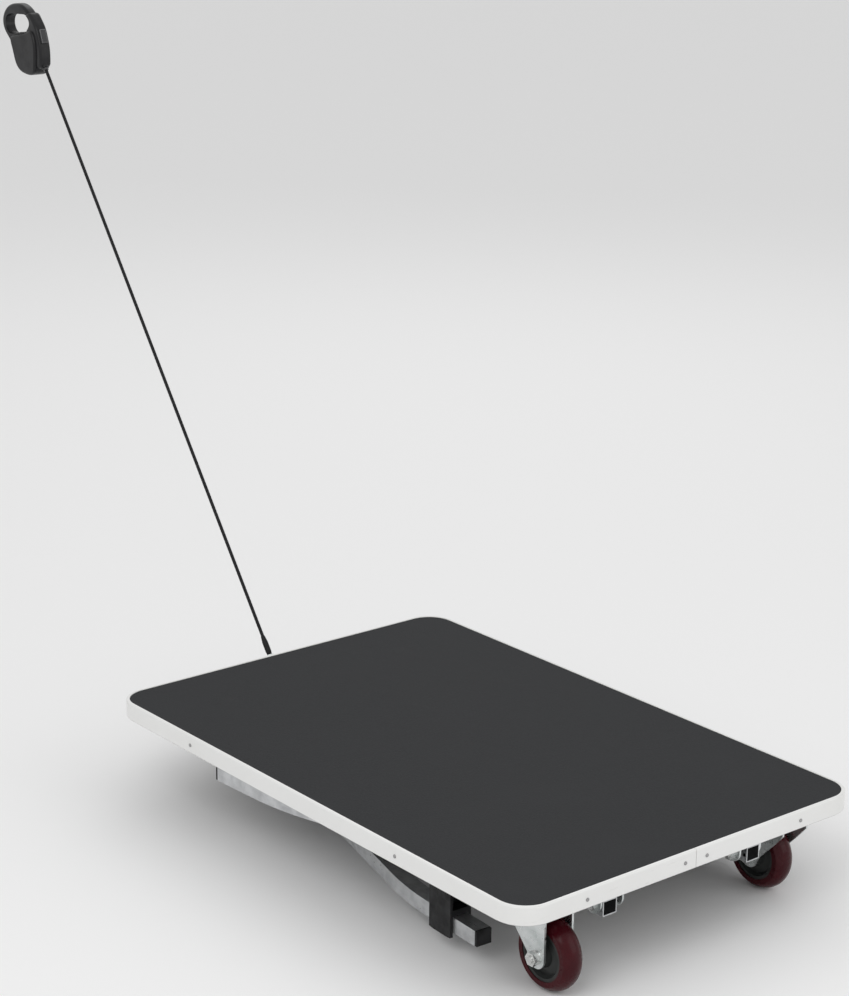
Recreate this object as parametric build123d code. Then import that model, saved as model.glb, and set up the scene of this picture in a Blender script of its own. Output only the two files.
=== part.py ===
# Folding grooming table on casters, shown folded as a pull-along trolley.
# Millimetres. Origin: centre of the mat's top face. +X toward the wheel end, +Z up, left side is -Y.
import os
from math import cos, sin, tan, radians, degrees, atan2
from build123d import *

os.makedirs("parts", exist_ok=True)

# ---------------------------------------------------------------- driving dimensions
MAT_L, MAT_W, MAT_R, MAT_T = 900.0, 600.0, 40.0, 4.0
RIM = 5.0                       # width of the trim's top lip
TOP_L, TOP_W, TOP_R = MAT_L + 2 * RIM, MAT_W + 2 * RIM, MAT_R + RIM
TRIM_WALL, TRIM_TOP, TRIM_BOT = 3.0, 0.8, -25.0
UNDER = -22.0                   # underside of the board
SEAM_Y, SEAM_GAP = -5.5, 0.8    # joint between the two trim halves
TUBE_W, TUBE_H, TUBE_T = 24.0, 21.5, 1.6
B_PIVOT = (411.5, -53.0)        # wheel-end legs, hinge axis x, z
A_PIVOT = (-278.5, -103.75)     # pull-end legs, hinge axis x, z
B_PATH = [(428.0, 130.0), (380.0, 130.0), (-93.0, 260.8), (-230.0, 267.5)]
A_PATH = [(-295.0, 121.0), (-247.0, 121.0), (165.0, 235.1), (318.0, 244.0)]
B_OPEN, A_OPEN = 95.0, 100.0    # opening angles of the two leg frames
B_BAR_X, A_BAR_X = 190.0, -120.0
CHEEK_T, CHEEK_R, GAP_IN, GAP_OUT = 3.0, 15.7, 10.0, 0.5
BOLT_D, PIN_D, PIN_UP = 8.0, 5.0, 12.0
PIN_DROP = 4.0                    # how far a lock pin drops into the hole of an opened leg
SW_X, SW_Y = 388.5, 213.0       # caster swivel axes
TRAIL, AXLE_Z, WHEEL_R, TYRE_W = 21.0, -97.0, 50.0, 32.0
FORK_OUT = 24.5                 # half width over the fork cheeks
ANCHOR = (-476.0, -28.7)        # pull cord pivot x, z
CORD_TOP = (-1109.325, 834.256)  # where the cord enters the handle
CORD_D, SLEEVE_D = 5.5, 9.0
HANDLE_HALF, GRIP_HALF = 14.0, 9.0

made = {}


def save(name, shape, colour):
    """One node: label it, colour it and write its own STEP file."""
    solids = shape.solids() if hasattr(shape, "solids") else [shape]
    out = solids[0] if len(solids) == 1 else Compound(children=list(solids))
    out.label = name
    out.color = Color(*colour)
    export_step(out, f"parts/{name}.step")
    made[name] = out
    return out


def cyl_y(r, y0, y1, x, z):
    """Cylinder along Y between two y values."""
    return Pos(x, (y0 + y1) / 2, z) * Rot(90, 0, 0) * Cylinder(r, abs(y1 - y0))


def cyl_z(r, z0, z1, x, y):
    return Pos(x, y, (z0 + z1) / 2) * Cylinder(r, abs(z1 - z0))


def box(x0, x1, y0, y1, z0, z1):
    return Pos((x0 + x1) / 2, (y0 + y1) / 2, (z0 + z1) / 2) * Box(abs(x1 - x0), abs(y1 - y0), abs(z1 - z0))


def slab(l, w, r, z0, z1):
    return Pos(0, 0, z0) * extrude(RectangleRounded(l, w, r), z1 - z0)


def prism_xz(points, y0, y1):
    """Closed XZ outline extruded along +Y from y0 to y1."""
    face = make_face(Polyline(*[(x, z) for x, z in points], close=True))
    return Pos(0, y1, 0) * extrude(Rot(90, 0, 0) * face, y1 - y0, dir=(0, -1, 0))


def mirror_y(shape):
    return mirror(shape, about=Plane.XZ)


def pair(shape):
    return Compound(children=[*shape.solids(), *mirror_y(shape).solids()])


def hexagon(af, y0, y1, x, z):
    """Hexagonal prism along Y, across flats af."""
    prism = extrude(RegularPolygon(af / 2, 6, major_radius=False), abs(y1 - y0))
    return Pos(x, max(y0, y1), z) * Rot(90, 0, 0) * prism


BLACK, DARK, WHITE = (0.03, 0.03, 0.035), (0.13, 0.13, 0.14), (0.85, 0.85, 0.84)
ALU, ZINC, MAROON = (0.62, 0.63, 0.65), (0.70, 0.74, 0.74), (0.22, 0.03, 0.05)
WOOD = (0.12, 0.11, 0.10)

# ---------------------------------------------------------------- tabletop
long_screws = [-256.0, 211.0]
end_screws = [-195.0, SEAM_Y - 19.5, SEAM_Y + 19.5, 190.0]
board = slab(TOP_L - 2 * TRIM_WALL - 0.1, TOP_W - 2 * TRIM_WALL - 0.1, TOP_R - TRIM_WALL, UNDER, -MAT_T - 0.02)
mat = slab(MAT_L - 0.4, MAT_W - 0.4, MAT_R - 0.2, -MAT_T, 0.0)

rim = slab(TOP_L, TOP_W, TOP_R, TRIM_BOT, TRIM_TOP)
rim = fillet(rim.faces().sort_by(Axis.Z)[-1].edges(), 2.2)
rim = fillet(rim.faces().sort_by(Axis.Z)[0].edges(), 1.0)
rim -= slab(TOP_L - 2 * TRIM_WALL, TOP_W - 2 * TRIM_WALL, TOP_R - TRIM_WALL, UNDER - 0.02, -MAT_T)
rim -= slab(MAT_L, MAT_W, MAT_R, -MAT_T - 1, TRIM_TOP + 1)
rim -= slab(TOP_L - 24, TOP_W - 24, TOP_R - 12, TRIM_BOT - 1, UNDER)

trim_screw_list, trim_holes = [], []
SZ = -13.0


def side_screw(x, y, nx, ny):
    """Small pan-head screw through the trim wall, head outward along (nx, ny)."""
    turn = degrees(atan2(ny, nx))
    head = Cylinder(2.6, 1.1) + Pos(0, 0, -7.5) * Cylinder(1.5, 14.0)
    head = fillet(head.faces().sort_by(Axis.Z)[-1].edges(), 0.6)
    place = Pos(x, y, SZ) * Rot(0, 0, turn) * Rot(0, 90, 0) * Pos(0, 0, 0.55)
    return place * head, Pos(x, y, SZ) * Rot(0, 0, turn) * Rot(0, 90, 0) * Pos(0, 0, -8) * Cylinder(1.55, 16.3)


for sx in long_screws:
    for sy in (-1, 1):
        s, h = side_screw(sx, sy * TOP_W / 2, 0, sy)
        trim_screw_list.append(s)
        trim_holes.append(h)
for sy in end_screws:
    for sx in (-1, 1):
        s, h = side_screw(sx * TOP_L / 2, sy, sx, 0)
        trim_screw_list.append(s)
        trim_holes.append(h)
for h in trim_holes:
    rim -= h
    board -= h
half_left = box(-500, 500, -400, SEAM_Y - SEAM_GAP / 2, -60, 60)
half_right = box(-500, 500, SEAM_Y + SEAM_GAP / 2, 400, -60, 60)
trim_left, trim_right = rim & half_left, rim & half_right

# ---------------------------------------------------------------- leg frames


def leg_face(path, grow=0.0, cut=0.0):
    """Plan outline of one curved leg tube on the -Y side; grow widens it."""
    pts = [(x, -y) for x, y in path]
    pts[-1] = (pts[-1][0] - cut, pts[-1][1])
    p = [Vector(*q) for q in pts]

    def radius(i, want):
        return want
    line = Polyline(*p)
    arc1 = fillet_path(p)
    return trace(arc1, TUBE_W + 2 * grow)


def fillet_path(p):
    """Straight runs joined by tangent arcs: tight bend by the hinge, wide bend toward the foot."""
    edges, start = [], p[0]
    for i, r in ((1, 100.0), (2, 450.0)):
        a, b, c = p[i - 1], p[i], p[i + 1]
        u, w = (a - b).normalized(), (c - b).normalized()
        half = radians(180 - u.get_angle(w)) / 2
        t = r * tan(half)
        t1, t2 = b + u * t, b + w * t
        tangent = (b - a).normalized()
        edges.append(Edge.make_line(start, t1))
        edges.append(Edge.make_tangent_arc(t1, tangent, t2))
        start = t2
    edges.append(Edge.make_line(start, p[3]))
    return Wire(edges)


def tube_solid(path, zc, grow=0.0, cut=0.0):
    face = leg_face(path, grow, cut)
    return Pos(0, 0, zc - TUBE_H / 2 - grow) * extrude(face, TUBE_H + 2 * grow)


CAP_T = 3.5


def leg_frame(path, pivot, sign, bar_x, opening):
    """Left-hand tube, its foot cap, hinge-end plug and the crossbar of one frame.
    sign is the x direction from hinge to foot."""
    px, pz = pivot
    p = [path[0], path[1], path[2], (path[3][0] - sign * CAP_T, path[3][1])]
    outer = tube_solid(p, pz)
    inner = tube_solid([(path[0][0] - sign * 2, path[0][1])] + p[1:3] + [(p[3][0] + sign * 2, p[3][1])], pz, -TUBE_T)
    tube = outer - inner
    y0 = -path[0][1]
    tube -= cyl_y(BOLT_D / 2 + 0.06, y0 - 20, y0 + 20, px, pz)
    th = radians(opening)
    hx, hz = -sign * PIN_UP * sin(th), PIN_UP * cos(th)
    tube -= cyl_y(PIN_D / 2 + 0.2, y0, y0 + 20, px + hx, pz + hz)
    end = path[0][0]
    plug = box(end, end + sign * 4.0, y0 - TUBE_W / 2 + TUBE_T + 0.05, y0 + TUBE_W / 2 - TUBE_T - 0.05,
               pz - TUBE_H / 2 + TUBE_T + 0.05, pz + TUBE_H / 2 - TUBE_T - 0.05)
    plug = plug - box(end - 1, end + sign * 1.2, y0 - 7, y0 + 7, pz - 6, pz + 6) if sign < 0 else \
        plug - box(end - 1.2, end + sign * 1.2, y0 - 7, y0 + 7, pz - 6, pz + 6)
    # foot cap follows the foot's direction in plan
    fx, fy = path[3][0], -path[3][1]
    slope = degrees(atan2(-(path[3][1] - path[2][1]), path[3][0] - path[2][0]))
    cap = Pos(-CAP_T / 2, 0, 0) * fillet(Box(CAP_T, TUBE_W, TUBE_H).edges().filter_by(Axis.X), 1.0)
    cap += Pos(-CAP_T - 7, 0, 0) * Box(14, TUBE_W - 2 * TUBE_T - 0.3, TUBE_H - 2 * TUBE_T - 0.3)
    cap = Pos(fx, fy, pz) * Rot(0, 0, slope) * cap
    cut_plane = Pos(fx, fy, pz) * Rot(0, 0, slope) * Pos(-CAP_T + 25, 0, 0) * Box(50, 80, 80)
    tube -= cut_plane
    bar = cyl_y(9.5, -320, 320, bar_x, pz) - cyl_y(7.9, -320, 320, bar_x, pz)
    solid = tube_solid(path, pz, 0.02)
    keep = box(bar_x - 20, bar_x + 20, -ybar(path, bar_x), ybar(path, bar_x), pz - 20, pz + 20)
    bar = (bar & keep) - solid - mirror_y(solid)
    return tube, cap, plug, bar


def ybar(path, x):
    (x1, y1), (x2, y2) = path[1], path[2]
    return y1 + (y2 - y1) * (x - x1) / (x2 - x1)


b_tube, b_cap, b_plug, b_bar = leg_frame(B_PATH, B_PIVOT, -1, B_BAR_X, B_OPEN)
a_tube, a_cap, a_plug, a_bar = leg_frame(A_PATH, A_PIVOT, 1, A_BAR_X, A_OPEN)

# ---------------------------------------------------------------- hinge brackets


def bracket(y_c, pivot, sign):
    """U-shaped steel bracket of the left leg, open downward; tube centre line at y = -y_c."""
    px, pz = pivot
    y_in0 = -y_c + TUBE_W / 2 + GAP_IN            # inner face of the inboard cheek
    y_out0 = -y_c - TUBE_W / 2 - GAP_OUT
    cz = pz + 5.7                                  # centre of the rounded cheek end

    def cheek(y0, y1):
        plate = box(px - CHEEK_R, px + CHEEK_R, y0, y1, cz, UNDER)
        plate += cyl_y(CHEEK_R, y0, y1, px, cz)
        return plate
    body = cheek(y_in0, y_in0 + CHEEK_T) + cheek(y_out0 - CHEEK_T, y_out0)
    body += box(px - 30, px + 16, y_out0 - CHEEK_T, y_in0 + CHEEK_T, UNDER - CHEEK_T, UNDER)
    body -= cyl_y(BOLT_D / 2 + 0.06, -y_c - 40, -y_c + 40, px, pz)
    body -= cyl_y(PIN_D / 2 + 0.06, y_in0 - 1, y_in0 + 10, px, pz + PIN_UP)
    holes = [(px - 22, -y_c - 14), (px - 22, -y_c + 20), (px + 9, -y_c + 3)]
    for hx, hy in holes:
        body -= cyl_z(2.35, UNDER - 10, UNDER + 1, hx, hy)
    return body, holes, y_in0 + CHEEK_T, y_out0 - CHEEK_T


def pivot_set(y_c, pivot):
    """Pivot bolt, lock nut, spacer sleeve, lock barrel and lock pin of the left leg."""
    px, pz = pivot
    y_in = -y_c + TUBE_W / 2 + GAP_IN + CHEEK_T    # inboard outer face
    y_out = -y_c - TUBE_W / 2 - GAP_OUT - CHEEK_T
    bolt = cyl_y(BOLT_D / 2, y_out, y_in + 8.5, px, pz) + cyl_y(6.8, y_out - 3.4, y_out, px, pz)
    bolt = bolt + cyl_y(6.8, y_out - 3.4, y_out, px, pz)
    nut = hexagon(12.0, y_in, y_in + 6.5, px, pz) - cyl_y(BOLT_D / 2 + 0.01, y_in - 1, y_in + 9, px, pz)
    sleeve = cyl_y(6.5, y_in - CHEEK_T - GAP_IN + 0.1, y_in - CHEEK_T - 0.1, px, pz)
    sleeve -= cyl_y(BOLT_D / 2 + 0.06, y_in - 40, y_in, px, pz)
    barrel = cyl_y(4.6, y_in, y_in + 11, px, pz + PIN_UP) - cyl_y(PIN_D / 2 + 0.06, y_in - 1, y_in + 12, px, pz + PIN_UP)
    tip = -y_c + TUBE_W / 2 + 0.6
    # the folded tube's wall holds the pin out, so its knob stands off the barrel by PIN_DROP
    out = y_in + 11.3 + PIN_DROP
    pin = cyl_y(PIN_D / 2, tip, out + 2, px, pz + PIN_UP)
    knob = cyl_y(7.5, out, out + 11.7, px, pz + PIN_UP)
    knob = fillet(knob.edges().filter_by(GeomType.CIRCLE), 1.6)
    knob -= cyl_y(5.2, out - 0.3, out + 0.6, px, pz + PIN_UP) - cyl_y(PIN_D / 2, out - 1, out + 2, px, pz + PIN_UP)
    return bolt, nut, sleeve, barrel, pin + knob


b_brk, b_holes, _, _ = bracket(B_PATH[0][1], B_PIVOT, -1)
a_brk, a_holes, _, _ = bracket(A_PATH[0][1], A_PIVOT, 1)
b_set = pivot_set(B_PATH[0][1], B_PIVOT)
a_set = pivot_set(A_PATH[0][1], A_PIVOT)


def wood_screw(x, y, z_seat):
    """Pan-head screw driven upward into the board, head under z_seat."""
    head = Pos(x, y, z_seat - 1.25) * Cylinder(4.2, 2.5)
    head = fillet(head.faces().sort_by(Axis.Z)[0].edges(), 1.1)
    return head + cyl_z(2.25, z_seat - 0.5, UNDER + 13, x, y)


screws = []
for x, y in b_holes + a_holes:
    for s in (1, -1):
        screws.append(wood_screw(x, s * y, UNDER - CHEEK_T))
        board -= cyl_z(2.3, UNDER - 1, UNDER + 13.3, x, s * y)

# ---------------------------------------------------------------- leg clips
CLIP_X, CLIP_L = 245.0, 46.0
foot_slope = atan2(A_PATH[3][1] - A_PATH[2][1], A_PATH[3][0] - A_PATH[2][0])
clip_y = A_PATH[3][1] - (A_PATH[3][0] - CLIP_X) * tan(foot_slope)
a_top = A_PIVOT[1] + TUBE_H / 2
a_bot = A_PIVOT[1] - TUBE_H / 2
hw = TUBE_W / 2 + 0.3
clip = box(-CLIP_L / 2, CLIP_L / 2, -hw - 4.5, hw + 4.5, a_bot - 8, a_top + 5)
clip -= box(-CLIP_L, CLIP_L, -hw, hw, a_bot - 20, a_top + 0.4)
clip -= prism_xz([(-60, a_bot - 9), (-60, a_bot - 3), (-14, a_bot - 8.01), (-14, a_bot - 9)], -30, 30)
clip -= prism_xz([(60, a_bot - 9), (60, a_bot - 3), (14, a_bot - 8.01), (14, a_bot - 9)], -30, 30)
post = box(-CLIP_L / 2, CLIP_L / 2, -hw - 4.5, hw + 4.5, a_top + 5, UNDER)
post -= box(-CLIP_L, CLIP_L, -hw - 0.2, hw + 0.2, a_top + 9, UNDER - 4) - box(-4, 4, -40, 40, -200, 0)
clip = clip + post
clip_holes = [(-14.0, 0.0), (14.0, 0.0)]
for hx, hy in clip_holes:
    clip -= cyl_z(2.35, UNDER - 5, UNDER + 1, hx, hy)
place_clip = Pos(CLIP_X, -clip_y, 0) * Rot(0, 0, -degrees(foot_slope))
clip = place_clip * clip
for hx, hy in clip_holes:
    wx = CLIP_X + hx * cos(-foot_slope)
    wy = -clip_y + hx * sin(-foot_slope)
    for s in (1, -1):
        screws.append(wood_screw(wx, s * wy, UNDER - 4))
        board -= cyl_z(2.3, UNDER - 1, UNDER + 13.3, wx, s * wy)

# ---------------------------------------------------------------- casters (swivel axis at x = y = 0)
plate = Pos(0, 0, UNDER - 3) * extrude(RectangleRounded(84, 62, 6), 3.0)
plate_holes = [(sx * 33.0, sy * 22.5) for sx in (-1, 1) for sy in (-1, 1)]
for hx, hy in plate_holes:
    plate -= cyl_z(3.1, UNDER - 5, UNDER + 1, hx, hy)
race = cyl_z(27.0, UNDER - 14.2, UNDER - 3, 0, 0)
race = fillet(race.faces().sort_by(Axis.Z)[0].edges(), 3.0)
race -= cyl_z(5.06, -60, 0, 0, 0)
plate -= cyl_z(5.06, -60, 0, 0, 0)
CROWN = UNDER - 14.5            # top of the fork crown
king = cyl_z(5.0, CROWN - 9.0, UNDER - 0.4, 0, 0)
king_nut = Pos(0, 0, CROWN - 8.3) * extrude(RegularPolygon(8.0, 6, major_radius=False), 5.0)
king = king + king_nut

fork_pts = [(-38, CROWN), (36.1, CROWN), (36.1, AXLE_Z), (21, AXLE_Z - 10), (7.6, AXLE_Z - 6.5),
            (4.6, AXLE_Z + 2.5), (-19.7, -68.4), (-38, -47.5)]
fork = prism_xz(fork_pts, -FORK_OUT, -FORK_OUT + 3) + cyl_y(15.1, -FORK_OUT, -FORK_OUT + 3, TRAIL, AXLE_Z)
fork = fork + mirror_y(fork)
crown = Pos(-0.95, 0, CROWN - 3) * extrude(RectangleRounded(74.1, 2 * FORK_OUT, 5), 3.0)
fork = fork + crown
fork -= cyl_z(5.08, -80, 0, 0, 0)
fork -= cyl_y(5.06, -60, 60, TRAIL, AXLE_Z)

axle = cyl_y(5.0, -FORK_OUT - 11.5, FORK_OUT, TRAIL, AXLE_Z) + hexagon(17.0, FORK_OUT, FORK_OUT + 6.4, TRAIL, AXLE_Z)
nut = hexagon(17.0, -FORK_OUT - 9.5, -FORK_OUT - 1.8, TRAIL, AXLE_Z)
nut += cyl_y(10.0, -FORK_OUT - 1.8, -FORK_OUT, TRAIL, AXLE_Z)
nut -= cyl_y(5.01, -80, 0, TRAIL, AXLE_Z)


def turn_y(points, x, z):
    """Solid of revolution about the axle; points are (radius, y)."""
    face = make_face(Polyline(*[(r, y) for r, y in points], close=True))
    return Pos(x, 0, z) * revolve(face, Axis.Y, 360)


hub_half = [(12.05, 21.0), (15.0, 21.0), (16.5, 12.0), (27.0, 9.0), (30.5, 15.0), (34.95, 15.0)]
hub_pts = hub_half + [(r, -y) for r, y in reversed(hub_half)]
hub_pts += [(12.05, -12.9), (9.0, -12.9), (9.0, 12.9), (12.05, 12.9)]
hub = turn_y(hub_pts, TRAIL, AXLE_Z)
bearing_one = cyl_y(12.0, 13.0, 21.2, TRAIL, AXLE_Z) - cyl_y(5.05, 0, 40, TRAIL, AXLE_Z)
bearing = bearing_one + mirror_y(bearing_one)
h = TYRE_W / 2
tyre_edges = [Line((35.0, -h), (42.0, -h)), ThreePointArc((42.0, -h), (WHEEL_R, 0), (42.0, h)),
              Line((42.0, h), (35.0, h)), Line((35.0, h), (35.0, -h))]
tyre = Pos(TRAIL, 0, AXLE_Z) * revolve(make_face(Curve() + tyre_edges), Axis.Y, 360)

LEFT = Pos(SW_X, -SW_Y, 0)
RIGHT = Pos(SW_X, SW_Y, 0) * Rot(0, 0, 180)
caster_screws = []
for place in (LEFT, RIGHT):
    for hx, hy in plate_holes:
        s = Pos(hx, hy, UNDER - 5.0) * Cylinder(6.0, 4.0)
        s = fillet(s.faces().sort_by(Axis.Z)[0].edges(), 2.2) + cyl_z(3.0, UNDER - 4, UNDER + 14, hx, hy)
        caster_screws.append(place * s)
        board -= place * cyl_z(3.05, UNDER - 1, UNDER + 14.3, hx, hy)
    board -= place * cyl_z(6.0, UNDER - 1, UNDER + 0.5, 0, 0)

# ---------------------------------------------------------------- pull cord anchor
ax, az = ANCHOR
dx, dz = CORD_TOP[0] - ax, CORD_TOP[1] - az
span = (dx * dx + dz * dz) ** 0.5
ux, uz = dx / span, dz / span
lean = degrees(atan2(dx, dz))     # tilt of the cord from vertical, about Y


def on_cord(shape_up):
    """Place a shape modelled along +Z from the pivot onto the cord's line."""
    return Pos(ax, 0, az) * Rot(0, lean, 0) * shape_up


anchor = box(-462, -412, -16, 16, TRIM_BOT - 2.5, TRIM_BOT)
anchor += prism_xz([(-462, TRIM_BOT - 0.2), (-462, -37), (-448, -37), (-438, -27), (-438, TRIM_BOT - 0.2)], -2, 2)
anchor += prism_xz([(ax, az + 7), (-461, az + 5), (-461, az - 7), (ax, az - 7)], -2, 2)
anchor += cyl_y(7.0, -2, 2, ax, az)
anchor -= box(-500, -455, -20, 20, -25.2, -10) - box(-500, -455.3, -2, 2, -60, 0)
anchor -= cyl_y(2.55, -5, 5, ax, az)
anchor_holes = [(-424.0, -10.0), (-424.0, 10.0)]
for hx, hy in anchor_holes:
    anchor -= cyl_z(2.35, -40, 0, hx, hy)
    screws.append(wood_screw(hx, hy, TRIM_BOT - 2.5))
    board -= cyl_z(2.3, UNDER - 1, UNDER + 13.3, hx, hy)
anchor_pad = box(-441, -412, -16, 16, TRIM_BOT, UNDER)
for hx, hy in anchor_holes:
    anchor_pad -= cyl_z(2.35, -40, 0, hx, hy)
anchor = anchor + anchor_pad

clevis = Pos(0, 0, 6.5) * Box(8.6, 9.4, 24.0)
clevis = fillet(clevis.edges().filter_by(Axis.Z), 1.2)
clevis -= Pos(0, 0, 2.0) * Box(20, 4.5, 23.0)
clevis -= Rot(90, 0, 0) * Cylinder(2.0, 30)
clevis = on_cord(clevis)
clevis_pin = cyl_y(2.49, -2.1, 2.1, ax, az) + cyl_y(1.98, -5.6, 5.6, ax, az)
clevis_pin += cyl_y(3.0, -5.7, -4.8, ax, az) + cyl_y(3.0, 4.8, 5.7, ax, az)
S0, S1 = 18.5, 50.0               # sleeve from and to, along the cord
sl = Polyline((0, S0), (3.6, S0), (SLEEVE_D / 2, S0 + 6), (SLEEVE_D / 2, S1 - 10), (CORD_D / 2 + 0.4, S1), (0, S1),
              close=True)
sleeve = on_cord(revolve(Rot(90, 0, 0) * make_face(sl), Axis.Z, 360))
CORD0, CORD1 = S1, span - 1.0
cord = on_cord(Pos(0, 0, (CORD0 + CORD1) / 2) * Cylinder(CORD_D / 2, CORD1 - CORD0))

# ---------------------------------------------------------------- pull handle with cord reel
body_pts = [(-1121, 842), (-1120, 868), (-1124, 884), (-1131, 893), (-1150, 890), (-1180, 884), (-1199, 876),
            (-1195, 862), (-1189, 847), (-1182, 834), (-1170, 825), (-1152, 821), (-1134, 821.5), (-1124, 827)]
loop_pts = [(-1122, 862), (-1123, 884), (-1130, 902), (-1140, 916), (-1153, 927), (-1171, 934), (-1190, 934),
            (-1210, 929), (-1224, 918), (-1230, 904), (-1226, 889), (-1212, 875), (-1200, 862), (-1190, 848),
            (-1165, 843), (-1135, 846)]
spine_pts = [(-1107, 842), (-1106.5, 855), (-1108, 869), (-1113, 886), (-1120, 901), (-1131, 914), (-1142, 922),
             (-1152, 918), (-1152, 895), (-1148, 870), (-1140, 846), (-1124, 834), (-1112, 835)]
hole_pts = [(-1145, 896), (-1141, 909), (-1150, 916.5), (-1170, 918), (-1197, 917), (-1215, 911), (-1219, 900),
            (-1211, 886), (-1199, 883), (-1167, 889)]


def blob(points, half):
    face = make_face(Spline(*[(x, z) for x, z in points], periodic=True))
    return Pos(0, half, 0) * extrude(Rot(90, 0, 0) * face, 2 * half, dir=(0, -1, 0))


def soften(shape, r):
    caps = shape.faces().filter_by(Axis.Y)
    return fillet(caps.edges(), r)


body = soften(blob(body_pts, HANDLE_HALF), 4.0)
loop = soften(blob(loop_pts, GRIP_HALF), 4.5)
hole = blob(hole_pts, 30)
spine = soften(blob(spine_pts, 10.5), 4.5)
RX, RZ, RR = -1156.0, 853.0, 29.0
gx, gz = CORD_TOP
guide_place = Pos(gx, 0, gz) * Rot(0, lean, 0)
nose = guide_place * (Pos(0, 0, 13.5) * Cylinder(6.4, 26.0))
shell = (body + loop + spine + nose) - hole
shell = shell - cyl_y(RR, -11, 11, RX, RZ) - cyl_y(3.01, -12.5, 12.5, RX, RZ)
# cord guide seat at the lower front corner
guide = Pos(0, 0, 7.0) * Cylinder(4.6, 22.0)
guide = fillet(guide.faces().sort_by(Axis.Z)[0].edges(), 1.2)
guide -= Pos(0, 0, -2.5) * Cylinder(CORD_D / 2 + 0.15, 3.0 + 0.02)
guide = guide_place * guide
shell -= guide_place * (Pos(0, 0, 7.0) * Cylinder(4.65, 22.1))
# brake button pocket on the front edge
bx, bz, btilt = -1113.0, 886.0, 20.0
b_place = Pos(bx, 0, bz) * Rot(0, -btilt, 0)
shell -= b_place * (Pos(-5.5, 0, 0) * Box(19.0, 12.6, 24.6))
button = Pos(-2.2, 0, 0) * Box(10.4, 12.0, 24.0)
button = b_place * fillet(button.faces().sort_by(Axis.X)[-1].edges(), 2.5)
h_screws, case_screws = [(-1128.5, 830.5), (-1189, 869), (-1136, 883)], []
for sx, sz in h_screws:
    half = HANDLE_HALF                         # heads on the right-hand shell
    shell -= cyl_y(2.6, half - 1.6, half + 1, sx, sz) + cyl_y(1.26, 4 - half, half, sx, sz)
    case_screws.append(cyl_y(2.5, half - 1.6, half - 0.2, sx, sz) + cyl_y(1.25, 4.2 - half, half - 1, sx, sz))
shell_left = shell & box(-1300, -1000, -40, 0, 700, 1000)
shell_right = shell & box(-1300, -1000, 0, 40, 700, 1000)
# three layers of three turns on a 10 mm core hold 1.03 m of the cord
reel = cyl_y(RR - 1.0, -10.4, -8.6, RX, RZ) + cyl_y(RR - 1.0, 8.6, 10.4, RX, RZ) + cyl_y(10.0, -9, 9, RX, RZ)
reel -= cyl_y(3.06, -20, 20, RX, RZ)
reel_axle = cyl_y(3.0, -12.4, 12.4, RX, RZ)

# ---------------------------------------------------------------- write every node
save("table_board", board, WOOD)
save("rubber_mat", mat, (0.05, 0.05, 0.055))
save("edge_trim_left", trim_left, WHITE)
save("edge_trim_right", trim_right, WHITE)
save("trim_screws", Compound(children=[s.solids()[0] for s in trim_screw_list]), ZINC)
for tag, brk, st in (("wheel_end", b_brk, b_set), ("pull_end", a_brk, a_set)):
    save(f"{tag}_bracket_left", brk, ZINC)
    save(f"{tag}_bracket_right", mirror_y(brk), ZINC)
    save(f"{tag}_lock_pin_left", st[4], BLACK)
    save(f"{tag}_lock_pin_right", mirror_y(st[4]), BLACK)
for name, i, colour in (("leg_pivot_bolts", 0, ZINC), ("leg_pivot_nuts", 1, ZINC), ("pivot_spacers", 2, BLACK),
                        ("lock_barrels", 3, ZINC)):
    both = [*b_set[i].solids(), *a_set[i].solids()]
    both += [*mirror_y(b_set[i]).solids(), *mirror_y(a_set[i]).solids()]
    save(name, Compound(children=both), colour)
for tag, parts in (("wheel_end", (b_tube, b_cap, b_plug, b_bar)), ("pull_end", (a_tube, a_cap, a_plug, a_bar))):
    save(f"{tag}_leg_left", parts[0], ALU)
    save(f"{tag}_leg_right", mirror_y(parts[0]), ALU)
    save(f"{tag}_foot_caps", pair(parts[1]), BLACK)
    save(f"{tag}_tube_plugs", pair(parts[2]), BLACK)
    save(f"{tag}_crossbar", parts[3], ALU)
save("leg_clip_left", clip, BLACK)
save("leg_clip_right", mirror_y(clip), BLACK)
save("underside_screws", Compound(children=[s.solids()[0] for s in screws]), ZINC)
save("caster_screws", Compound(children=[s.solids()[0] for s in caster_screws]), ZINC)
save("caster_kingpins", Compound(children=[(LEFT * king).solids()[0], (RIGHT * king).solids()[0]]), ZINC)
for side, place in (("left", LEFT), ("right", RIGHT)):
    save(f"caster_plate_{side}", place * plate, ZINC)
    save(f"caster_race_{side}", place * race, ZINC)
    save(f"caster_fork_{side}", place * fork, ZINC)
    save(f"axle_bolt_{side}", place * axle, ZINC)
    save(f"axle_nut_{side}", place * nut, ZINC)
    save(f"wheel_hub_{side}", place * hub, DARK)
    save(f"wheel_bearings_{side}", place * bearing, ZINC)
    save(f"wheel_tyre_{side}", place * tyre, MAROON)
save("pull_anchor", anchor, ZINC)
save("cord_clevis", clevis, ZINC)
save("clevis_pin", clevis_pin, ZINC)
save("cord_sleeve", sleeve, BLACK)
save("pull_cord", cord, BLACK)
save("handle_shell_left", shell_left, BLACK)
save("handle_shell_right", shell_right, BLACK)
save("cord_guide", guide, DARK)
save("brake_button", button, DARK)
save("handle_screws", Compound(children=[s.solids()[0] for s in case_screws]), ZINC)
save("cord_reel", reel, DARK)
save("reel_axle", reel_axle, ZINC)

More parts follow.
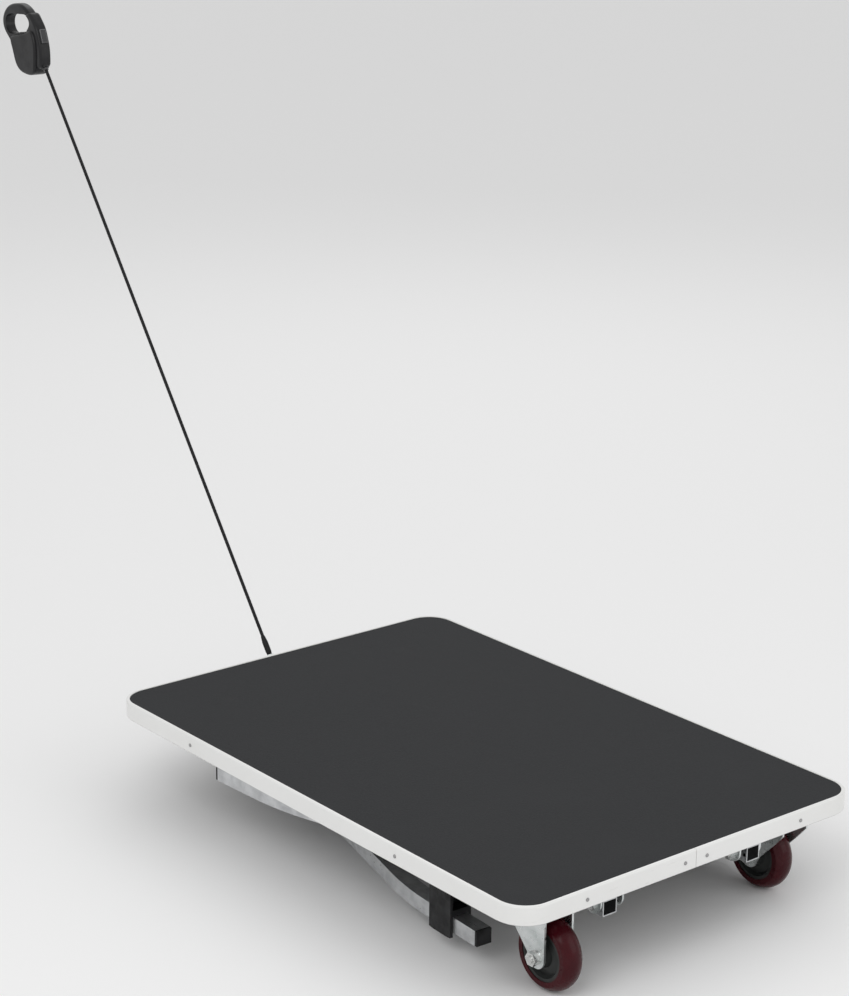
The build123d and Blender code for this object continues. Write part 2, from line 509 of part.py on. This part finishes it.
for n, s in made.items():
    b = s.bounding_box()
    print(f"{n:28s} solids {len(s.solids()):3d}  x {b.min.X:8.1f} {b.max.X:8.1f}  y {b.min.Y:7.1f} {b.max.Y:7.1f}"
          f"  z {b.min.Z:7.1f} {b.max.Z:7.1f}  vol {s.volume:10.0f}")
print("nodes", len(made), "cord span", round(span, 1), "direction", round(ux, 5), round(uz, 5), "lean", round(lean, 2))
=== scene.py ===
from math import cos, pi, sin

import bmesh
import bpy
from mathutils import Matrix, Vector


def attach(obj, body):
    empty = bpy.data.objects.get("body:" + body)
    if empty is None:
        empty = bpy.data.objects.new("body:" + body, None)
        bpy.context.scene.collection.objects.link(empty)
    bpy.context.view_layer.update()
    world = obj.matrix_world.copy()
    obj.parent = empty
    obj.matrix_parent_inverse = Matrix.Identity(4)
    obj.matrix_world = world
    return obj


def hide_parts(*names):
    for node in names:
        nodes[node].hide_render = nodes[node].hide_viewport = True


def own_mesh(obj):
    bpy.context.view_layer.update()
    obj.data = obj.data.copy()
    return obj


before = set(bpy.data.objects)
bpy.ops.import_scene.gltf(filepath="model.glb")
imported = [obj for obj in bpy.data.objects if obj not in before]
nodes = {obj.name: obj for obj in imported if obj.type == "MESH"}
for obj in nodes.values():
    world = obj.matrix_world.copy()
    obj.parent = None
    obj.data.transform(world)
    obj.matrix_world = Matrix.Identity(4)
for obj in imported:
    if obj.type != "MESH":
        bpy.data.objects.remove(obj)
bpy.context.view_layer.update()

scene = bpy.context.scene

# ---------------------------------------------------------------- camera
cam_data = bpy.data.cameras.new("camera")
cam = bpy.data.objects.new("camera", cam_data)
scene.collection.objects.link(cam)
scene.camera = cam
right = Vector((0.63111815, 0.77561986, 0.01018403))
ahead = Vector((-0.74063576, 0.60644992, -0.28927005))
up = right.cross(ahead)
turn = Matrix((right, up, -ahead)).transposed().to_4x4()
cam.matrix_world = Matrix.Translation((2.47338, -2.11452, 1.34218)) @ turn
cam_data.lens, cam_data.sensor_width, cam_data.sensor_fit = 89.32, 36.0, "AUTO"
cam_data.clip_end = 60


# ---------------------------------------------------------------- material tools
class Mat:
    """A Principled material with helpers that add procedural nodes."""

    def __init__(self, name, colour, rough, metal=0.0, **sockets):
        self.m = bpy.data.materials.new(name)
        self.m.use_nodes = True
        self.t = self.m.node_tree
        self.p = self.t.nodes["Principled BSDF"]
        self.colour = colour
        self.p.inputs["Base Color"].default_value = (*colour, 1)
        self.p.inputs["Roughness"].default_value = rough
        self.p.inputs["Metallic"].default_value = metal
        for key, value in sockets.items():
            self.p.inputs[key.replace("_", " ")].default_value = value
        self.where = self.add("ShaderNodeTexCoord").outputs["Object"]

    def add(self, kind, **props):
        n = self.t.nodes.new(kind)
        for k, v in props.items():
            setattr(n, k, v)
        return n

    def link(self, a, b):
        self.t.links.new(a, b)

    def stretch(self, s):
        """Object coordinates scaled by s on each axis, for drawn or scuffed grain."""
        n = self.add("ShaderNodeMapping")
        n.inputs["Scale"].default_value = s
        self.link(self.where, n.inputs["Vector"])
        return n.outputs["Vector"]

    def noise(self, scale, detail=3.0, rough=0.5, where=None):
        n = self.add("ShaderNodeTexNoise")
        n.inputs["Scale"].default_value = scale
        n.inputs["Detail"].default_value = detail
        n.inputs["Roughness"].default_value = rough
        self.link(where or self.where, n.inputs["Vector"])
        return n.outputs["Fac"]

    def cells(self, scale, feature="F1", where=None):
        n = self.add("ShaderNodeTexVoronoi", feature=feature)
        n.inputs["Scale"].default_value = scale
        self.link(where or self.where, n.inputs["Vector"])
        return n.outputs["Distance"]

    def span(self, value, lo, hi, to_lo=0.0, to_hi=1.0):
        """Maps value from lo..hi to to_lo..to_hi."""
        n = self.add("ShaderNodeMapRange")
        for k, v in zip(("From Min", "From Max", "To Min", "To Max"), (lo, hi, to_lo, to_hi)):
            n.inputs[k].default_value = v
        self.link(value, n.inputs["Value"])
        return n.outputs["Result"]

    def math(self, op, a, b):
        n = self.add("ShaderNodeMath", operation=op)
        for i, v in enumerate((a, b)):
            if isinstance(v, (int, float)):
                n.inputs[i].default_value = v
            else:
                self.link(v, n.inputs[i])
        return n.outputs[0]

    def tint(self, fac, other, amount=1.0):
        """Mixes the colour so far toward another where fac is 1."""
        n = self.add("ShaderNodeMix", data_type="RGBA")
        old = self.p.inputs["Base Color"]
        if old.links:
            self.link(old.links[0].from_socket, n.inputs[6])
        else:
            n.inputs[6].default_value = (*self.colour, 1)
        n.inputs[7].default_value = (*other, 1)
        self.link(self.math("MULTIPLY", fac, amount), n.inputs[0])
        self.link(n.outputs[2], old)

    def rough(self, value):
        self.link(value, self.p.inputs["Roughness"])

    def bump(self, height, distance, strength=1.0):
        n = self.add("ShaderNodeBump")
        n.inputs["Distance"].default_value = distance
        n.inputs["Strength"].default_value = strength
        self.link(height, n.inputs["Height"])
        old = self.p.inputs["Normal"]
        if old.links:
            self.link(old.links[0].from_socket, n.inputs["Normal"])
        self.link(n.outputs["Normal"], old)

    def edge_wear(self, other, amount, lo=0.505, hi=0.56):
        """Paler where the surface turns sharply outward."""
        g = self.add("ShaderNodeNewGeometry")
        patchy = self.span(self.noise(60, 4), 0.35, 0.65)
        worn = self.math("MULTIPLY", self.span(g.outputs["Pointiness"], lo, hi), patchy)
        self.tint(worn, other, amount)


# ---------------------------------------------------------------- materials
mat_rubber = Mat("mat_pebbled_rubber", (0.027, 0.028, 0.030), 0.75, Specular_IOR_Level=0.14)
pebble = mat_rubber.cells(620, "SMOOTH_F1")
cloud = mat_rubber.noise(7, 5, 0.6)
mat_rubber.tint(mat_rubber.span(cloud, 0.38, 0.68), (0.038, 0.039, 0.041), 0.7)
mat_rubber.tint(mat_rubber.span(pebble, 0.0, 0.55, 1.0, 0.0), (0.046, 0.047, 0.049), 0.35)
mat_rubber.rough(mat_rubber.span(cloud, 0.3, 0.7, 0.70, 0.84))
mat_rubber.bump(pebble, 0.0005, 0.55)
mat_rubber.bump(mat_rubber.noise(28, 3), 0.0008, 0.25)

trim = Mat("trim_white_plastic", (0.80, 0.80, 0.79), 0.36, Specular_IOR_Level=0.5, Coat_Weight=0.12)
trim.tint(trim.span(trim.noise(5, 4), 0.4, 0.7), (0.73, 0.73, 0.71), 0.5)
scuff = trim.noise(40, 6, 0.7, trim.stretch((0.35, 0.35, 3.0)))
trim.tint(trim.span(scuff, 0.64, 0.74), (0.52, 0.51, 0.49), 0.35)
trim.rough(trim.span(scuff, 0.4, 0.7, 0.30, 0.48))
trim.bump(trim.noise(900, 2), 0.00012, 0.35)
height = trim.add("ShaderNodeSeparateXYZ")
trim.link(trim.where, height.inputs[0])
TRIM_BOTTOM, PAINTED_SHADE_TOP = -0.0250, -0.0238      # painted shade along the trim's lower edge
# painted shade: the white trim darkens toward near black at its lower edge, standing in for the shadow
# under the board
trim.tint(trim.span(height.outputs["Z"], TRIM_BOTTOM, PAINTED_SHADE_TOP, 1.0, 0.0), (0.16, 0.16, 0.155), 0.8)

alu = Mat("leg_brushed_aluminium", (0.50, 0.51, 0.52), 0.34, 0.92)
drawn = alu.noise(260, 4, 0.6, alu.stretch((0.04, 1.0, 1.0)))
alu.tint(alu.span(drawn, 0.35, 0.7), (0.44, 0.45, 0.46), 0.3)
alu.rough(alu.span(drawn, 0.3, 0.7, 0.27, 0.46))
alu.bump(drawn, 0.0001, 0.35)
alu.edge_wear((0.78, 0.79, 0.80), 0.5)

zinc = Mat("zinc_plated_steel", (0.60, 0.64, 0.635), 0.33, 0.9)
spangle = zinc.noise(160, 4, 0.55)
zinc.tint(zinc.span(spangle, 0.35, 0.7), (0.55, 0.59, 0.585), 0.25)
zinc.tint(zinc.span(zinc.noise(34, 5), 0.56, 0.75), (0.50, 0.52, 0.51), 0.15)
zinc.rough(zinc.span(zinc.noise(130, 4), 0.35, 0.65, 0.24, 0.42))
zinc.bump(zinc.noise(500, 3), 0.00012, 0.35)
zinc.edge_wear((0.86, 0.88, 0.88), 0.7)

bright = Mat("bright_fastener_steel", (0.70, 0.71, 0.70), 0.22, 1.0)
bright.tint(bright.span(bright.noise(180, 4), 0.42, 0.66), (0.48, 0.48, 0.46), 0.5)
bright.rough(bright.span(bright.noise(420, 3), 0.3, 0.7, 0.16, 0.34))
bright.bump(bright.noise(1200, 2), 0.00008, 0.3)
bright.edge_wear((0.9, 0.9, 0.9), 0.5)

screw = Mat("trim_screw_grey", (0.40, 0.40, 0.40), 0.34, 0.85)
screw.tint(screw.span(screw.noise(500, 3), 0.4, 0.65), (0.24, 0.24, 0.24), 0.6)
screw.rough(screw.span(screw.noise(700, 3), 0.3, 0.7, 0.25, 0.45))
screw.bump(screw.noise(1500, 2), 0.00006, 0.3)

black = Mat("moulded_black_plastic", (0.006, 0.006, 0.0065), 0.46, Specular_IOR_Level=0.2)
black.tint(black.span(black.noise(14, 4), 0.4, 0.7), (0.020, 0.020, 0.021), 0.7)
black.rough(black.span(black.noise(80, 4), 0.35, 0.65, 0.42, 0.60))
black.bump(black.noise(1400, 2), 0.0002, 0.45)
black.edge_wear((0.05, 0.05, 0.052), 0.4)

grip = Mat("handle_satin_plastic", (0.006, 0.006, 0.007), 0.30, Specular_IOR_Level=0.28,
           Coat_Weight=0.12)
grip.tint(grip.span(grip.noise(24, 4), 0.42, 0.7), (0.012, 0.012, 0.013), 0.6)
grip.rough(grip.span(grip.noise(55, 4), 0.35, 0.65, 0.30, 0.48))
grip.bump(grip.cells(1500, "SMOOTH_F1"), 0.00012, 0.3)
grip.edge_wear((0.045, 0.045, 0.048), 0.4)

gloss = Mat("gloss_black_plastic", (0.016, 0.016, 0.018), 0.16, Coat_Weight=0.6, Coat_Roughness=0.08)
gloss.tint(gloss.span(gloss.noise(60, 3), 0.45, 0.7), (0.03, 0.03, 0.034), 0.5)
gloss.rough(gloss.span(gloss.noise(260, 3), 0.35, 0.7, 0.12, 0.26))
gloss.bump(gloss.noise(700, 2), 0.00006, 0.25)

tyre_m = Mat("tyre_maroon_urethane", (0.050, 0.0030, 0.0060), 0.26, Specular_IOR_Level=0.12,
             Coat_Weight=0.12, Coat_Roughness=0.1)
tyre_m.tint(tyre_m.span(tyre_m.noise(26, 4), 0.42, 0.7), (0.028, 0.003, 0.005), 0.6)
tyre_m.tint(tyre_m.span(tyre_m.noise(150, 5), 0.62, 0.72), (0.075, 0.020, 0.022), 0.25)
tyre_m.rough(tyre_m.span(tyre_m.noise(90, 4), 0.35, 0.65, 0.22, 0.36))
tyre_m.bump(tyre_m.noise(420, 3), 0.00015, 0.3)

hub_m = Mat("hub_dark_nylon", (0.022, 0.024, 0.023), 0.40, Specular_IOR_Level=0.28)
hub_m.tint(hub_m.span(hub_m.noise(45, 4), 0.4, 0.7), (0.034, 0.037, 0.036), 0.6)
hub_m.rough(hub_m.span(hub_m.noise(120, 3), 0.35, 0.65, 0.30, 0.50))
hub_m.bump(hub_m.noise(800, 2), 0.0002, 0.4)

board_m = Mat("board_black_laminate", (0.036, 0.034, 0.032), 0.46)
fibre = board_m.noise(30, 5, 0.6, board_m.stretch((0.3, 3.0, 3.0)))
board_m.tint(board_m.span(fibre, 0.4, 0.66), (0.062, 0.057, 0.052), 0.6)
board_m.rough(board_m.span(fibre, 0.3, 0.7, 0.38, 0.56))
board_m.bump(fibre, 0.0002, 0.4)

plug_m = Mat("plug_deep_black", (0.0025, 0.0025, 0.003), 0.7, Specular_IOR_Level=0.06)
plug_m.tint(plug_m.span(plug_m.noise(200, 3), 0.4, 0.7), (0.006, 0.006, 0.0065), 0.6)
plug_m.rough(plug_m.span(plug_m.noise(300, 2), 0.3, 0.7, 0.62, 0.8))
plug_m.bump(plug_m.noise(1200, 2), 0.0001, 0.4)

cord_m = Mat("cord_black_braid", (0.010, 0.010, 0.011), 0.7, Sheen_Weight=0.05, Specular_IOR_Level=0.2)
cord_m.tint(cord_m.span(cord_m.noise(300, 3), 0.4, 0.65), (0.020, 0.020, 0.021), 0.7)
cord_m.rough(cord_m.span(cord_m.noise(420, 2), 0.3, 0.7, 0.55, 0.78))
cord_m.bump(cord_m.noise(2200, 2), 0.00015, 0.5)

# ---------------------------------------------------------------- finishes of the CAD nodes
finish_of = {
    "rubber_mat": mat_rubber, "table_board": board_m, "edge_trim_left": trim, "edge_trim_right": trim,
    "trim_screws": screw, "underside_screws": bright, "caster_screws": bright, "caster_kingpins": bright,
    "leg_pivot_bolts": bright, "leg_pivot_nuts": bright, "lock_barrels": zinc, "pivot_spacers": black,
    "leg_clip_left": black, "leg_clip_right": black, "pull_anchor": zinc, "cord_clevis": zinc,
    "clevis_pin": bright, "cord_sleeve": black, "pull_cord": cord_m, "handle_shell_left": grip,
    "handle_shell_right": grip, "cord_guide": gloss, "brake_button": gloss, "handle_screws": bright,
    "cord_reel": hub_m, "reel_axle": bright,
}
for end in ("wheel_end", "pull_end"):
    for side in ("left", "right"):
        finish_of[f"{end}_bracket_{side}"] = zinc
        finish_of[f"{end}_lock_pin_{side}"] = black
        finish_of[f"{end}_leg_{side}"] = alu
    finish_of[f"{end}_crossbar"] = alu
    finish_of[f"{end}_foot_caps"] = black
    finish_of[f"{end}_tube_plugs"] = plug_m
for side in ("left", "right"):
    for part in ("caster_plate", "caster_race", "caster_fork"):
        finish_of[f"{part}_{side}"] = zinc
    for part in ("axle_bolt", "axle_nut", "wheel_bearings"):
        finish_of[f"{part}_{side}"] = bright
    finish_of[f"wheel_hub_{side}"] = hub_m
    finish_of[f"wheel_tyre_{side}"] = tyre_m
for name, finish in finish_of.items():
    obj = nodes[name]
    obj.data.materials.clear()
    obj.data.materials.append(finish.m)


# ---------------------------------------------------------------- modelling tools
def mesh_object(name, bm, finish, body):
    me = bpy.data.meshes.new(name)
    bmesh.ops.recalc_face_normals(bm, faces=bm.faces)
    bm.to_mesh(me)
    bm.free()
    ob = bpy.data.objects.new(name, me)
    scene.collection.objects.link(ob)
    me.materials.append(finish.m)
    for f in me.polygons:
        f.use_smooth = True
    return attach(ob, body)


def sweep(bm, centres, ring):
    """Skins rings of points made by ring(i) about each centre; ends are capped."""
    rows = [[bm.verts.new(p) for p in ring(i)] for i in range(len(centres))]
    for a, b in zip(rows[:-1], rows[1:]):
        for k in range(len(a)):
            bm.faces.new((a[k], a[(k + 1) % len(a)], b[(k + 1) % len(b)], b[k]))
    bm.faces.new(rows[0])
    bm.faces.new(list(reversed(rows[-1])))


# ---------------------------------------------------------------- taut pull cord, with its braid
ANCHOR = Vector((-0.476, 0, -0.0287))
TOP = Vector((-1.109325, 0, 0.834256))
along = (TOP - ANCHOR).normalized()
span = (TOP - ANCHOR).length
CORD_R = 0.00275
SLEEVE_SEAT, TOP_GAP = 0.050, 0.001     # the cord starts in its sleeve and ends just short of TOP
# The first and last points are the cord's two ends. The middle one is only a point on the
# straight line between them, which gives the spline enough points for order 3.
MIDDLE = Vector((-0.787, 0, 0.395))
ROUTE = [ANCHOR + along * SLEEVE_SEAT, MIDDLE, ANCHOR + along * (span - TOP_GAP)]
CORD_ROWS, AROUND = 700, 24
STRANDS, BRAID_PITCH, BRAID_DEPTH = 4, 0.012, 0.00014
side_a = Vector((0, 1, 0))
side_b = along.cross(side_a)
route_curve = bpy.data.curves.new("cord_route", "CURVE")
route_curve.dimensions = "3D"
spline = route_curve.splines.new("NURBS")
spline.points.add(len(ROUTE) - 1)
for point, place in zip(spline.points, ROUTE):
    point.co = (*place, 1.0)
spline.order_u = 3
spline.use_endpoint_u = True
spline.resolution_u = route_curve.resolution_u = CORD_ROWS
route_object = bpy.data.objects.new("cord_route", route_curve)
route_mesh = bpy.data.meshes.new_from_object(route_object)
centres = [v.co.copy() for v in route_mesh.vertices]
bpy.data.meshes.remove(route_mesh)
bpy.data.objects.remove(route_object)
bpy.data.curves.remove(route_curve)
free = (centres[-1] - centres[0]).length


def braid(i):
    """A diamond braid: two opposed sets of raised strands."""
    s = (centres[i] - centres[0]).length
    seated = min(1.0, (free - s) / 0.004, s / 0.002 + 0.2)
    points = []
    for k in range(AROUND):
        a = 2 * pi * k / AROUND
        lay = s * 2 * pi / BRAID_PITCH
        weave = cos(STRANDS * a + lay) * cos(STRANDS * a - lay)
        r = CORD_R - BRAID_DEPTH * seated * (1 - weave)
        points.append(centres[i] + side_a * (r * cos(a)) + side_b * (r * sin(a)))
    return points


bm = bmesh.new()
sweep(bm, centres, braid)
cord = mesh_object("braided_pull_cord", bm, cord_m, "pull_line")
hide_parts("pull_cord")
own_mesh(cord)

# ---------------------------------------------------------------- floor and light
FLOOR_SIZE, FLOOR_Z, SKY = 40, -0.147, 0.74
bm = bmesh.new()
bmesh.ops.create_grid(bm, x_segments=1, y_segments=1, size=FLOOR_SIZE)
floor_mesh = bpy.data.meshes.new("floor")
bm.to_mesh(floor_mesh)
bm.free()
floor = bpy.data.objects.new("floor", floor_mesh)
scene.collection.objects.link(floor)
floor.location.z = FLOOR_Z
floor_m = Mat("floor_pale", (0.90, 0.90, 0.90), 0.95, Specular_IOR_Level=0.1)
floor_mesh.materials.append(floor_m.m)

world = bpy.data.worlds.new("studio")
scene.world = world
world.use_nodes = True
world.node_tree.nodes["Background"].inputs["Color"].default_value = (1, 1, 1, 1)
world.node_tree.nodes["Background"].inputs["Strength"].default_value = SKY


def area(name, place, target, size, power):
    data = bpy.data.lights.new(name, "AREA")
    data.size, data.energy = size, power
    ob = bpy.data.objects.new(name, data)
    scene.collection.objects.link(ob)
    ob.location = place
    ob.rotation_mode = "QUATERNION"
    ob.rotation_quaternion = (Vector(target) - Vector(place)).to_track_quat("-Z", "Y")


area("key", (1.2, -2.6, 2.8), (-0.1, 0, 0), 2.2, 30)
area("fill", (2.9, 1.2, 1.4), (0.2, 0, 0), 2.4, 14)
area("back", (-2.4, 2.2, 2.6), (-0.3, 0, 0.1), 2.0, 12)
scene.view_settings.view_transform = "Standard"
